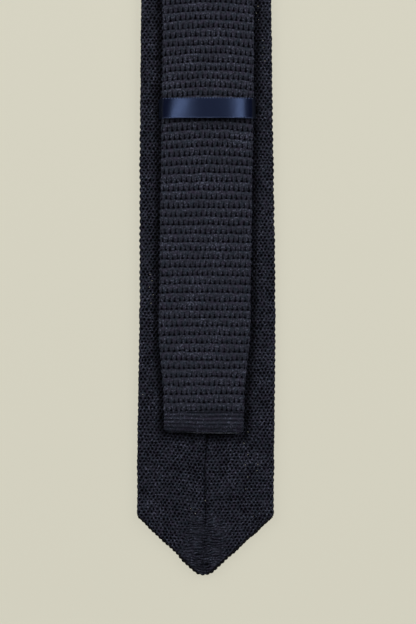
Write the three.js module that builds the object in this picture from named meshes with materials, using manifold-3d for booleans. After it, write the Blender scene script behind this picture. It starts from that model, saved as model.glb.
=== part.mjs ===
// Knitted necktie with a pointed blade and a square-ended tail. It is doubled at the neck and
// lies face down, with the tail, face up, passed through the satin keeper loop on the blade's back.
// Millimetres. +Y runs from the point of the blade to the neck fold, +X is to the right, +Z is up.
// The origin is under the middle of the doubled tie, on the surface that it lies on.
import * as THREE from "three";
import { mergeVertices } from "three/addons/utils/BufferGeometryUtils.js";
import Module from "manifold-3d";

const wasm = await Module();
wasm.setup();

// The doubled tie
const foldedLength = 770; // point of the blade to the outside of the neck fold
const tailSetback = 62.6; // point of the blade up to the end of the tail

// Fabric: each leg is a flattened tube of knit, closed by a seam down the middle of its back
const fabricThickness = 1.3;
const tubeGap = 0.3; // between the front and back layers of the tube
const slitWidth = 1.6; // between the two edges that the back seam joins
const seamRecess = 0.2; // back seam below the surface of the fabric
const pieceGap = 0.3; // between neighbouring pieces

// Blade
const bladeWidth = 60; // at the shoulders of the point
const bladeUpperWidth = 57; // where the taper to the neck starts
const taperStart = 250; // from the point of the blade
const taperEnd = 640; // from the point of the blade
const pointHalfAngle = THREE.MathUtils.degToRad(47);
const tipRadius = 6;
const edgeSeamWidth = 1; // closing seam along the two slanting edges
const edgeSeamThickness = 2;
const turnInWidth = 1.6; // fabric turned in beside the closing seam
const tipSeamLength = 8; // plain fabric left between the back seam and the tip

// Tail
const tailWidth = 40;
const hemWidth = 35;
const hemHeight = 8.8;
const hemCornerRadius = 2.5;
const hemThread = 0.6; // diameter
const tailNarrowing = 40; // length over which the tail narrows to its hem

// Neck
const neckWidth = 36;
const foldRadius = 6; // to the middle of the fabric
const foldReach = 30; // straight fabric on each leg that moves with the fold
const slackLength = 255; // fabric of each leg that gives way as the fold rolls
const descentLength = 70; // over which the upper leg comes down to the blade

// Keeper loop
const keeperPlace = 204.5; // middle of the ribbon, from the point of the blade
const ribbonWidth = 8.8;
const ribbonThickness = 0.4;
const keeperSideRoom = 1.6; // beside the tail
const keeperTopRoom = 0.4; // above the tail
const keeperCrown = 1.2; // rise of the ribbon in the middle
const keeperCorner = 2.4; // outer radius of the bends beside the tail
const keeperFootCorner = 1.2; // outer radius of the bends down on the blade
const tackDiameter = 1;
const tackLength = 3;

// Bend lines of the soft ends
const tailBendRoom = 10; // below the keeper loop

// Fineness of the curves
const endSteps = 6; // per rounded edge of a section
const taperStep = 30; // along a leg that changes width
const foldSteps = 14;
const cornerSteps = 6;

const tieThickness = 2 * fabricThickness + tubeGap;
const seamWidth = slitWidth - 2 * pieceGap;
const tipY = -foldedLength / 2;
const turnY = foldedLength / 2 - foldRadius - tieThickness / 2;
const hemY = tipY + tailSetback;
const keeperY = tipY + keeperPlace;
const tailBendY = keeperY - ribbonWidth / 2 - tailBendRoom;
const foldStartY = turnY - foldReach;
const slackStartY = foldStartY - slackLength;
const ribbonBottom = tieThickness + pieceGap;
const tailBottom = ribbonBottom + ribbonThickness + pieceGap;
const tailMiddle = tailBottom + tieThickness / 2;
const bladeMiddle = tieThickness / 2;
const foldTopMiddle = bladeMiddle + 2 * foldRadius;
const pointHeight =
  bladeWidth / 2 / Math.tan(pointHalfAngle) - tipRadius * (1 / Math.sin(pointHalfAngle) - 1);
const pointY = tipY + pointHeight;
const hemTopY = hemY + hemThread + pieceGap + hemHeight;

const knitMaterial = () =>
  new THREE.MeshStandardMaterial({ color: 0x24252c, roughness: 0.75, metalness: 0 });
const threadMaterial = () =>
  new THREE.MeshStandardMaterial({ color: 0x1c1d26, roughness: 0.7, metalness: 0 });
const satinMaterial = () =>
  new THREE.MeshStandardMaterial({ color: 0x1f2a4a, roughness: 0.35, metalness: 0 });

// Width of the two legs at a place along them

function eased(from, to, share) {
  return THREE.MathUtils.lerp(from, to, THREE.MathUtils.smoothstep(share, 0, 1));
}

function bladeWidthAt(y) {
  const fromTip = y - tipY;
  if (fromTip < taperStart) {
    const share = Math.max(fromTip - pointHeight, 0) / (taperStart - pointHeight);
    return THREE.MathUtils.lerp(bladeWidth, bladeUpperWidth, share);
  }
  return eased(bladeUpperWidth, neckWidth, (fromTip - taperStart) / (taperEnd - taperStart));
}

function tailWidthAt(y) {
  if (y < hemTopY + tailNarrowing) {
    return eased(hemWidth, tailWidth, (y - hemTopY) / tailNarrowing);
  }
  const fromTip = y - tipY;
  return eased(tailWidth, neckWidth, (fromTip - taperStart) / (taperEnd - taperStart));
}

// Stations along the fabric: a place, the direction towards the tail's end, and a width

function bladeStation(y) {
  return {
    place: new THREE.Vector3(0, y, bladeMiddle),
    along: new THREE.Vector3(0, 1, 0),
    width: bladeWidthAt(y),
  };
}

function foldStation(turn) {
  return {
    place: new THREE.Vector3(
      0,
      turnY + foldRadius * Math.sin(turn),
      bladeMiddle + foldRadius * (1 - Math.cos(turn)),
    ),
    along: new THREE.Vector3(0, Math.cos(turn), Math.sin(turn)),
    width: neckWidth,
  };
}

function tailHeightAt(y) {
  return eased(tailMiddle, foldTopMiddle, (y - turnY + descentLength) / descentLength);
}

function tailStation(y, width = tailWidthAt(y)) {
  const slope = tailHeightAt(y + 0.5) - tailHeightAt(y - 0.5);
  return {
    place: new THREE.Vector3(0, y, tailHeightAt(y)),
    along: new THREE.Vector3(0, -1, -slope).normalize(),
    width,
  };
}

function stationsBetween(station, from, to) {
  const count = Math.max(1, Math.ceil(Math.abs(to - from) / taperStep));
  return Array.from({ length: count + 1 }, (_, i) =>
    station(THREE.MathUtils.lerp(from, to, i / count)),
  );
}

// Cross-sections, drawn across the fabric: x is to the right, y is towards the back of the tie

function roundEnd(side, halfWidth) {
  const radius = tieThickness / 2;
  return Array.from({ length: endSteps + 1 }, (_, i) => {
    const turn = Math.PI * (i / endSteps - 0.5);
    return new THREE.Vector2(
      side * (halfWidth - radius + radius * Math.cos(turn)),
      side * radius * Math.sin(turn),
    );
  });
}

function tubeSection(width) {
  const halfWidth = width / 2;
  const inside = halfWidth - fabricThickness;
  const slit = slitWidth / 2;
  const gap = tubeGap / 2;
  return [
    new THREE.Vector2(-slit, tieThickness / 2),
    ...roundEnd(-1, halfWidth),
    ...roundEnd(1, halfWidth),
    new THREE.Vector2(slit, tieThickness / 2),
    new THREE.Vector2(slit, gap),
    new THREE.Vector2(inside, gap),
    new THREE.Vector2(inside, -gap),
    new THREE.Vector2(-inside, -gap),
    new THREE.Vector2(-inside, gap),
    new THREE.Vector2(-slit, gap),
  ];
}

function solidSection(width) {
  return [...roundEnd(-1, width / 2), ...roundEnd(1, width / 2)];
}

function seamSection() {
  const low = tubeGap / 2 + pieceGap;
  const high = tieThickness / 2 - seamRecess;
  const half = seamWidth / 2;
  return [
    new THREE.Vector2(-half, low),
    new THREE.Vector2(half, low),
    new THREE.Vector2(half, high),
    new THREE.Vector2(-half, high),
  ];
}

// A closed body that carries a section through a list of stations
function sweep(stations, section) {
  const across = new THREE.Vector3(1, 0, 0);
  const positions = [];
  const outlines = stations.map((station) => section(station.width));
  const size = outlines[0].length;
  stations.forEach((station, i) => {
    const toBack = new THREE.Vector3().crossVectors(across, station.along);
    for (const point of outlines[i]) {
      const corner = station.place.clone();
      corner.addScaledVector(across, point.x);
      corner.addScaledVector(toBack, point.y);
      positions.push(corner.x, corner.y, corner.z);
    }
  });
  const faces = [];
  for (let i = 0; i + 1 < stations.length; i++) {
    for (let j = 0; j < size; j++) {
      const next = (j + 1) % size;
      const a = i * size + j;
      const b = i * size + next;
      faces.push([a, b + size, b], [a, a + size, b + size]);
    }
  }
  const last = (stations.length - 1) * size;
  for (const [a, b, c] of THREE.ShapeUtils.triangulateShape(outlines[0], [])) {
    faces.push([a, b, c]);
  }
  for (const [a, b, c] of THREE.ShapeUtils.triangulateShape(outlines.at(-1), [])) {
    faces.push([last + a, last + c, last + b]);
  }
  const geometry = new THREE.BufferGeometry();
  geometry.setAttribute("position", new THREE.Float32BufferAttribute(positions, 3));
  geometry.setIndex(faces.flat());
  return geometry;
}

// Outlines of the point, seen from above

function pointEdge(inset, topY) {
  const radius = tipRadius - inset;
  const centreY = tipY + tipRadius;
  const startTurn = -Math.PI + pointHalfAngle;
  const arc = Array.from({ length: 2 * cornerSteps + 1 }, (_, i) => {
    const turn = THREE.MathUtils.lerp(startTurn, -pointHalfAngle, i / (2 * cornerSteps));
    return new THREE.Vector2(radius * Math.cos(turn), centreY + radius * Math.sin(turn));
  });
  const tangent = arc.at(-1);
  const reach = tangent.x + (topY - tangent.y) * Math.tan(pointHalfAngle);
  return [new THREE.Vector2(-reach, topY), ...arc, new THREE.Vector2(reach, topY)];
}

function asManifold(geometry) {
  geometry.deleteAttribute("normal");
  geometry.deleteAttribute("uv");
  const merged = mergeVertices(geometry, 1e-4);
  const mesh = new wasm.Mesh({
    numProp: 3,
    vertProperties: new Float32Array(merged.attributes.position.array),
    triVerts: new Uint32Array(merged.index.array),
  });
  return new wasm.Manifold(mesh);
}

function asGeometry(manifold) {
  const mesh = manifold.getMesh();
  const geometry = new THREE.BufferGeometry();
  geometry.setAttribute("position", new THREE.BufferAttribute(mesh.vertProperties, 3));
  geometry.setIndex(new THREE.BufferAttribute(mesh.triVerts, 1));
  return geometry;
}

function slab(outline, low, high) {
  const geometry = new THREE.ExtrudeGeometry(new THREE.Shape(outline), {
    depth: high - low,
    bevelEnabled: false,
    curveSegments: cornerSteps,
  });
  geometry.translate(0, 0, low);
  return geometry;
}

// Pieces

function tube(stations) {
  return sweep(stations, tubeSection);
}

function seam(stations) {
  return sweep(stations, seamSection);
}

// The two layers are turned in and joined along the slanting edges, and open at the top and the slit
function pointShell() {
  const endY = pointY - pieceGap;
  const beyond = endY + tieThickness;
  const layers = sweep([bladeStation(tipY), bladeStation(endY)], solidSection);
  const edge = slab(pointEdge(edgeSeamWidth + pieceGap, beyond), -1, tieThickness + 1);
  const pocketEdge = pointEdge(edgeSeamWidth + pieceGap + turnInWidth, beyond);
  const pocket = slab(pocketEdge, bladeMiddle - tubeGap / 2, bladeMiddle + tubeGap / 2);
  const slitHalf = slitWidth / 2;
  const slitEnd = tipY + tipSeamLength - pieceGap;
  const slitOutline = [
    new THREE.Vector2(-slitHalf, slitEnd),
    new THREE.Vector2(slitHalf, slitEnd),
    new THREE.Vector2(slitHalf, beyond),
    new THREE.Vector2(-slitHalf, beyond),
  ];
  const slit = slab(slitOutline, bladeMiddle, tieThickness + 1);
  const body = asManifold(layers)
    .intersect(asManifold(edge))
    .subtract(asManifold(pocket))
    .subtract(asManifold(slit));
  return asGeometry(body);
}

function pointEdgeSeam() {
  const endY = pointY - pieceGap;
  const outer = pointEdge(0, endY);
  const inner = pointEdge(edgeSeamWidth, endY);
  const low = (tieThickness - edgeSeamThickness) / 2;
  return slab([...outer, ...inner.reverse()], low, low + edgeSeamThickness);
}

function foldStations() {
  const turns = Array.from({ length: foldSteps - 1 }, (_, i) =>
    foldStation((Math.PI * (i + 1)) / foldSteps),
  );
  return [
    ...stationsBetween(bladeStation, foldStartY, turnY),
    ...turns,
    ...stationsBetween(tailStation, turnY, foldStartY),
  ];
}

function hemBand() {
  const lowY = hemTopY - hemHeight;
  const corner = Array.from({ length: cornerSteps + 1 }, (_, i) => {
    const turn = (Math.PI / 2) * (i / cornerSteps);
    const y = lowY + hemCornerRadius * (1 - Math.sin(turn));
    return tailStation(y, hemWidth - 2 * hemCornerRadius * (1 - Math.cos(turn)));
  });
  return sweep([tailStation(hemTopY, hemWidth), ...corner], solidSection);
}

function hemThreadBar() {
  const geometry = new THREE.CylinderGeometry(
    hemThread / 2,
    hemThread / 2,
    hemWidth - 2 * hemCornerRadius,
    8,
  );
  geometry.rotateZ(Math.PI / 2);
  geometry.translate(0, hemY + hemThread / 2, tailMiddle);
  return geometry;
}

// The ribbon's outline round the tail, seen from the end; inset moves it to the inner face
function ribbonOutline(inset) {
  const half = tailWidth / 2 + keeperSideRoom + ribbonThickness - inset;
  const low = ribbonBottom + inset;
  const shoulder = tailBottom + tieThickness + keeperTopRoom + ribbonThickness - inset;
  const foot = keeperFootCorner - inset;
  const bend = keeperCorner - inset;
  const outline = new THREE.Path();
  outline.moveTo(-half + foot, low);
  outline.lineTo(half - foot, low);
  outline.absarc(half - foot, low + foot, foot, -Math.PI / 2, 0);
  outline.absarc(half - bend, shoulder - bend, bend, 0, Math.PI / 2);
  outline.quadraticCurveTo(0, shoulder + 2 * keeperCrown, -half + bend, shoulder);
  outline.absarc(-half + bend, shoulder - bend, bend, Math.PI / 2, Math.PI);
  outline.absarc(-half + foot, low + foot, foot, Math.PI, 1.5 * Math.PI);
  return outline.getPoints(cornerSteps);
}

function keeperLoop() {
  const shape = new THREE.Shape(ribbonOutline(0));
  shape.holes.push(new THREE.Path(ribbonOutline(ribbonThickness)));
  const geometry = new THREE.ExtrudeGeometry(shape, { depth: ribbonWidth, bevelEnabled: false });
  geometry.rotateX(Math.PI / 2);
  geometry.translate(0, keeperY + ribbonWidth / 2, 0);
  return geometry;
}

function keeperTack(side) {
  const radius = tackDiameter / 2;
  const geometry = new THREE.CylinderGeometry(radius, radius, tackLength, 8);
  const ribbonSide = tailWidth / 2 + keeperSideRoom + ribbonThickness;
  geometry.translate(
    side * (ribbonSide + pieceGap + radius),
    keeperY,
    tieThickness + pieceGap + radius,
  );
  return geometry;
}

// The assembly

const tie = new THREE.Group();
tie.name = "necktie";

function add(name, geometry, material) {
  const mesh = new THREE.Mesh(geometry, material);
  mesh.name = name;
  tie.add(mesh);
}

const legs = [
  ["blade", bladeStation, pointY, slackStartY - pieceGap],
  ["blade_slack", bladeStation, slackStartY, foldStartY - pieceGap],
  ["tail_slack", tailStation, foldStartY - pieceGap, slackStartY],
  ["tail", tailStation, slackStartY - pieceGap, tailBendY],
  ["tail_end", tailStation, tailBendY - pieceGap, hemTopY + pieceGap],
];
for (const [name, station, from, to] of legs) {
  add(`${name}_shell`, tube(stationsBetween(station, from, to)), knitMaterial());
  add(`${name}_back_seam`, seam(stationsBetween(station, from, to)), threadMaterial());
}
add("neck_fold_shell", tube(foldStations()), knitMaterial());
add("neck_fold_back_seam", seam(foldStations()), threadMaterial());
add("point_shell", pointShell(), knitMaterial());
const pointSeamEnds = [bladeStation(tipY + tipSeamLength), bladeStation(pointY - pieceGap)];
add("point_back_seam", seam(pointSeamEnds), threadMaterial());
add("point_edge_seam", pointEdgeSeam(), threadMaterial());
add("tail_hem_band", hemBand(), knitMaterial());
add("tail_hem_thread", hemThreadBar(), threadMaterial());
add("keeper_loop", keeperLoop(), satinMaterial());
add("keeper_tack_left", keeperTack(-1), threadMaterial());
add("keeper_tack_right", keeperTack(1), threadMaterial());

export default tie;
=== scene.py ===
import math

import bmesh
import bpy
import numpy as np
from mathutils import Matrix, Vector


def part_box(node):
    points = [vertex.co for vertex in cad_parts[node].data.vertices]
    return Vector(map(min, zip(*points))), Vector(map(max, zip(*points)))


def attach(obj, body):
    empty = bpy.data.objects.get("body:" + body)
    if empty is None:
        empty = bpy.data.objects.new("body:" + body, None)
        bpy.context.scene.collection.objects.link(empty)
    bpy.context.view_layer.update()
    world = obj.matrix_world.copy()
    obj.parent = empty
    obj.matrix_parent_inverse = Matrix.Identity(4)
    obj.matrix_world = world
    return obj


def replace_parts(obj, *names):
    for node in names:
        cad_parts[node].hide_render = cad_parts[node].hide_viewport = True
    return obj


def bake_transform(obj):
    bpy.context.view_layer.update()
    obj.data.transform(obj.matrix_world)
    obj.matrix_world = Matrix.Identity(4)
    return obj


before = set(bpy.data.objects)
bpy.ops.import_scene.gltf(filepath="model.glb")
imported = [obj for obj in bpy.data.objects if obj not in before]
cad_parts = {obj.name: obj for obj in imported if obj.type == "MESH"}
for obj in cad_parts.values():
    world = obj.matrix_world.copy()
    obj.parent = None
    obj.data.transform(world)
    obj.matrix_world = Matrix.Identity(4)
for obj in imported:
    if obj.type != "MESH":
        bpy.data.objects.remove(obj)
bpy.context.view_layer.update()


def lowOf(node, axis):
    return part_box(node)[0][axis]


def highOf(node, axis):
    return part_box(node)[1][axis]


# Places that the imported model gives, in metres
thickness = highOf("blade_shell", 2)
tipY = lowOf("point_edge_seam", 1)
pointY = lowOf("blade_shell", 1)
slackStartY = lowOf("blade_slack_shell", 1)
foldStartY = lowOf("neck_fold_shell", 1)
foldRadius = (highOf("neck_fold_shell", 2) - thickness) / 2
turnY = highOf("neck_fold_shell", 1) - foldRadius - thickness / 2
tailBendY = lowOf("tail_shell", 1)
tailBottom = lowOf("tail_end_shell", 2)
hemTopY = highOf("tail_hem_band", 1)
hemY = lowOf("tail_hem_thread", 1)
bladeWidth = 2 * highOf("blade_shell", 0)
neckWidth = 2 * highOf("neck_fold_shell", 0)
tailWidth = 2 * highOf("tail_end_shell", 0)
hemWidth = 2 * highOf("tail_hem_band", 0)

shape = {
    "bladeUpperWidth": 0.057,   # where the taper to the neck starts
    "taperStart": 0.25,         # from the point
    "taperEnd": 0.64,
    "pointHalfAngle": math.radians(47),
    "tipRadius": 0.006,
    "tailNarrowing": 0.04,      # above the hem
    "descentLength": 0.07,      # over which the tail comes down to the blade
    "slitHalf": 0.00005,        # half of the gap at the back seam
    "pocket": 0.0002,           # half of the space inside the flattened tube
    "reliefRoom": 0.0002,       # kept inside the outer size for the stitches
    "crown": 0.0003,            # rise of the upper side towards its middle
    "edgeBulge": 0.6,           # of the long edges, as a share of their half thickness
}
bladeRun = turnY - tipY
turnRun = math.pi * foldRadius
tubeRadius = thickness / 2 - shape["reliefRoom"]


view = {
    "lens": 85,
    "sensor": 36,
    "centre": (0.0009, tipY + 0.1154),   # x and y that it looks straight down on
    "height": 0.645,                     # above the back of the blade
    "near": 0.01,
    "far": 100,
}


def makeCamera():
    camera = bpy.data.objects.new("camera", bpy.data.cameras.new("camera"))
    camera.data.lens = view["lens"]
    camera.data.sensor_width = view["sensor"]
    camera.data.clip_start = view["near"]
    camera.data.clip_end = view["far"]
    camera.location = (*view["centre"], view["height"] + thickness)
    bpy.context.scene.collection.objects.link(camera)
    bpy.context.scene.camera = camera
    bpy.context.scene.view_settings.view_transform = "Standard"


makeCamera()
print("camera placed")


# Along the fabric, run is the distance from the tip of the point, over the neck fold, to the tail's end.

def ease(share):
    # from 0 to 1 without a corner
    share = np.clip(share, 0, 1)
    return share * share * (3 - 2 * share)


def tailRun(y):
    return bladeRun + turnRun + turnY - y


def tieWidth(run):
    fromTip = np.where(run < bladeRun, run, bladeRun + bladeRun + turnRun - run)
    taper = ease((fromTip - shape["taperStart"]) / (shape["taperEnd"] - shape["taperStart"]))
    pointHeight = pointY - tipY
    lower = np.clip((fromTip - pointHeight) / (shape["taperStart"] - pointHeight), 0, 1)
    blade = bladeWidth + (shape["bladeUpperWidth"] - bladeWidth) * lower**2
    blade = blade + (neckWidth - shape["bladeUpperWidth"]) * taper
    tail = tailWidth + (neckWidth - tailWidth) * taper
    hemPlace = hemTopY - tipY
    tail = tail + (hemWidth - tailWidth) * (1 - ease((fromTip - hemPlace) / shape["tailNarrowing"]))
    return np.where(run < bladeRun, blade, np.where(run < bladeRun + turnRun, neckWidth, tail))


# how far each leg leans to the right, in metres
lean = {
    "bladeSwell": (0.00095, 0.122, 0.055),      # how far, where, and over what length
    "bladeStart": -0.0003,
    "bladeRise": (0.0004, 0.12, 0.1),
    "tip": (0.0008, 0.022),                     # to the left, and over what length
    "tailStart": -0.0009,
    "tailRise": (0.00095, 0.08, 0.155),
    "straight": (0.3, 0.3),                     # where the lean starts to fade, and over what length
}


def sway(run):
    swell, swellAt, swellLength = lean["bladeSwell"]
    rise, riseAt, riseLength = lean["bladeRise"]
    blade = swell * np.exp(-(((run - swellAt) / swellLength) ** 2))
    blade = blade + lean["bladeStart"] + rise * ease((run - riseAt) / riseLength)
    blade = blade - lean["tip"][0] * (1 - ease(run / lean["tip"][1]))
    fromTip = bladeRun + bladeRun + turnRun - run
    rise, riseAt, riseLength = lean["tailRise"]
    drift = np.clip((fromTip - riseAt) / riseLength, 0, 1)
    tail = lean["tailStart"] + rise * (drift + ease(drift))
    fadeAt, fadeLength = lean["straight"]
    tail = tail * (1 - ease((fromTip - fadeAt) / fadeLength))
    return np.where(run < bladeRun, blade * (1 - ease((run - fadeAt) / fadeLength)), tail)


def alongTie(run):
    # y and z of the middle of the fabric, and its heading
    turn = np.clip((run - bladeRun) / foldRadius, 0, np.pi)
    y = np.where(run < bladeRun, tipY + run, turnY + foldRadius * np.sin(turn))
    z = thickness / 2 + foldRadius * (1 - np.cos(turn))
    past = run - bladeRun - turnRun
    share = np.clip(1 - past / shape["descentLength"], 0, 1)
    tailMiddle = tailBottom + thickness / 2
    drop = thickness / 2 + 2 * foldRadius - tailMiddle
    onTail = past > 0
    y = np.where(onTail, turnY - past, y)
    z = np.where(onTail, tailMiddle + drop * ease(share), z)
    slope = 6 * share * (1 - share) * drop / shape["descentLength"]
    headY = np.where(onTail, -1 / np.hypot(1, slope), np.cos(turn))
    headZ = np.where(onTail, -slope / np.hypot(1, slope), np.sin(turn))
    return y, z, headY, headZ


def ringSize(half, radius):
    # distance round the flattened tube, whose long edges are half ovals
    bulge = shape["edgeBulge"] * radius
    return 4 * (half - bulge) + np.pi * (radius + bulge)


def acrossTie(around, half, radius, upSide):
    # x, height towards the back, and outward normal, for a distance round from the middle of the face
    side, far = np.sign(around), np.abs(around)
    bulge = shape["edgeBulge"] * radius
    flat = half - bulge
    edge = np.pi * (radius + bulge) / 2
    seam = ringSize(half, radius) / 2 - shape["slitHalf"]
    turn = np.pi * np.clip((far - flat) / edge, 0, 1)
    x = np.minimum(far, flat) + bulge * np.sin(turn)
    x = np.where(far < flat + edge, x, flat - (far - flat - edge))
    up = -radius * np.cos(turn)
    normalX, normalUp = np.sin(turn) / bulge, -np.cos(turn) / radius
    size = np.hypot(normalX, normalUp)
    normalX, normalUp = normalX / size, normalUp / size
    rise = shape["crown"] * np.clip(1 - (x / half) ** 2, 0, 1) * np.abs(normalUp)
    up = up + np.where(upSide > 0, rise * (up > 0), -rise * (up < 0))
    # the edges of the fabric turn down into the tube along the back seam
    past = far - seam
    depth = np.clip(radius - shape["pocket"], 0.0001, None)
    down = np.clip(past, 0, depth)
    x = np.where(past > 0, shape["slitHalf"] + np.clip(past - depth, 0, None), x)
    up = np.where(past > 0, up - down, up)
    normalX = np.where(past > 0, -1.0 * (past < depth), normalX)
    normalUp = np.where(past > 0, -1.0 * (past >= depth), normalUp)
    visible = 1 - ease(past / 0.0003 + 1)
    return side * x, up, side * normalX, normalUp, visible


# the blade's back gives way under the tail and swells beside it; beside and under the tail and past its end
# its colour is painted darker, as painted shade
pressAndShade = {
    "depth": 0.0004,
    "puff": 0.0004,
    "closed": 0.52,         # how much darker the painted shade makes the blade beside and under the tail
    "beside": 0.0040,       # how far from the tail's edge the press and its painted shade fade out
    "swell": 0.0030,        # over which the swelling comes and goes
    "beyondHem": 0.0058,    # how far past the tail's end the press and its painted shadow reach
    "hemFade": 0.0026,
}


def pressedAndShaded(x, y):
    run = tailRun(y)
    beside, swelling = pressAndShade["beside"], pressAndShade["swell"]
    beyond = np.abs(x - sway(run)) - tieWidth(run) / 2
    under = ease((swelling - beyond) / beside)
    swell = ease((beyond - beside / 10) / swelling) * ease((bladeWidth / 2 - np.abs(x)) / swelling)
    reach = ease((y - hemY + pressAndShade["beyondHem"]) / pressAndShade["hemFade"])
    closed = pressAndShade["closed"] * ease((beside - beyond) / beside) * (1 - 0.3 * ease((hemY - y) / 0.001))
    return (pressAndShade["puff"] * swell - pressAndShade["depth"] * under) * reach, closed * reach


def pointHalfWidth(run):
    # half width of the pointed end, run metres above its tip
    angle, radius = shape["pointHalfAngle"], shape["tipRadius"]
    tangentY = radius * (1 - math.sin(angle))
    tangentX = radius * math.cos(angle)
    low = np.sqrt(np.clip(radius**2 - (radius - np.minimum(run, tangentY)) ** 2, 0, None))
    return np.where(run < tangentY, low, tangentX + (run - tangentY) * math.tan(angle))


def softNoise(x, y, seed):
    # a smooth random field from -1 to 1 with one knot per unit
    knotX, knotY = np.floor(x), np.floor(y)
    shareX, shareY = ease(x - knotX), ease(y - knotY)

    def knot(i, j):
        value = np.sin(i * 127.1 + j * 311.7 + seed * 74.7) * 43758.5453
        return 2 * (value - np.floor(value)) - 1

    near = knot(knotX, knotY) * (1 - shareX) + knot(knotX + 1, knotY) * shareX
    far = knot(knotX, knotY + 1) * (1 - shareX) + knot(knotX + 1, knotY + 1) * shareX
    return near * (1 - shareY) + far * shareY


# the blade's open lattice knit, and the ridged knit of the neck and the tail
meshKnit = {
    "wale": 0.00173,
    "course": 0.001385,
    "holeDepth": 0.00054,
    "bump": 0.00016,
    "fuzz": 0.00010,
    "loose": 0.10,      # slow irregularity, in wales
    "jitter": 0.17,     # from stitch to stitch, in wales
    "uneven": 0.42,     # how much the openings differ in size
    "strand": 0.38,     # how much painted shade darkens the low strands between the openings
    "shade": 0.10,      # how much darker it is than the ridged knit
    "slant": (1.1, 0.3),        # courses that the rows drop at the back seam, left and right
    "gather": 0.0085,           # half width of the drawn stitches over the seam
    "gatherRun": (0.019, 0.012),        # where they end, and over what length
}
ridgeKnit = {
    "wale": 0.00219,
    "course": 0.00368,
    "ridge": 0.00036,
    "leg": 0.00019,
    "slitDepth": 0.00075,
    "fuzz": 0.00010,
    "loose": 0.06,      # slow irregularity, in wales and courses
    "jitter": (0.05, 0.09),     # from stitch to stitch, in courses and in wales
    "looser": (0.11, 0.10),     # from the tail's end, where the knit opens, and over what length
    "bow": (0.0002, 0.0013),    # rise of a ridge in the middle, near the tail's end and higher up
    "slit": (0.14, 0.62),       # how open the slits are, and how much more so higher up
    "upperLight": 0.11,         # how much lighter a ridge is on its upper side than on its lower one
}
knitChange = 0.64       # run of fabric from the point to where the neck's ridged knit starts


def meshRelief(around, run, x):
    knit = meshKnit
    wale = around / knit["wale"] + knit["loose"] * softNoise(around / 0.006, run / 0.008, 3)
    course = run / knit["course"] + 1.5 * knit["loose"] * softNoise(around / 0.009, run / 0.005, 5)
    wale = wale + knit["jitter"] * softNoise(around / 0.0018, run / 0.0016, 4)
    course = course + knit["jitter"] * softNoise(around / 0.0018, run / 0.0016, 6)
    # rows slant down to the back seam, more so on the left
    toSeam = np.exp(-((x / 0.011) ** 2)) * (np.abs(around) > 0.035)
    course = course + toSeam * np.where(x < 0, *knit["slant"])
    wave = np.cos(2 * np.pi * (wale + course / 2)) + np.cos(2 * np.pi * (wale - course / 2))
    wave = (wave + 0.9 * np.cos(2 * np.pi * course)) / 2.9
    size = knit["uneven"] * softNoise(around / 0.0021, run / 0.0018, 11)
    hole = ease((wave + size + 0.06) / 0.62)
    high = ease(-2 * wave)
    relief = knit["bump"] * high - knit["holeDepth"] * hole
    relief = relief + knit["fuzz"] * softNoise(around / 0.0009, run / 0.0008, 12)
    # the openings and the low strands that join them are painted darker: painted shade
    strand = 0.75 + 0.9 * softNoise(around / 0.0010, run / 0.0008, 13)
    paintedShading = np.clip(hole + knit["strand"] * (1 - high) * strand, 0, 1)
    return gathered(relief, paintedShading, around, run, x)


def gathered(relief, paintedShading, around, run, x):
    # over the seam near the tip the stitches are drawn out sideways into rows
    knit = meshKnit
    gatherEnd, gatherFade = knit["gatherRun"]
    share = np.exp(-((x / knit["gather"]) ** 2)) * (np.abs(around) > 0.02)
    share = share * (1 - ease((run - gatherEnd) / gatherFade))
    share = ease(1.5 * share + 0.45 * share * softNoise(x / 0.0016, run / 0.0016, 7))
    row = run / (0.8 * knit["course"]) + 0.5 * softNoise(x / 0.0042, run / 0.0035, 8)
    row = row + 0.40 * softNoise(x / 0.0017, run / 0.0014, 10)
    crest = 0.5 + 0.5 * np.cos(2 * np.pi * row)
    piece = softNoise(x / 0.0021 + 17 * np.round(row), run * 0, 9)
    gap = (1 - crest) * (0.75 + 0.6 * piece)
    drawn = knit["bump"] * crest - knit["holeDepth"] * 0.7 * np.clip(gap, 0, 1)
    relief = relief * (1 - share) + drawn * share
    # painted shade in the gaps between the drawn rows
    paintedShading = np.clip(paintedShading * (1 - share) + gap * share, 0, 1)
    return relief, knit["shade"] + (1 - knit["shade"]) * paintedShading


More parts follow.
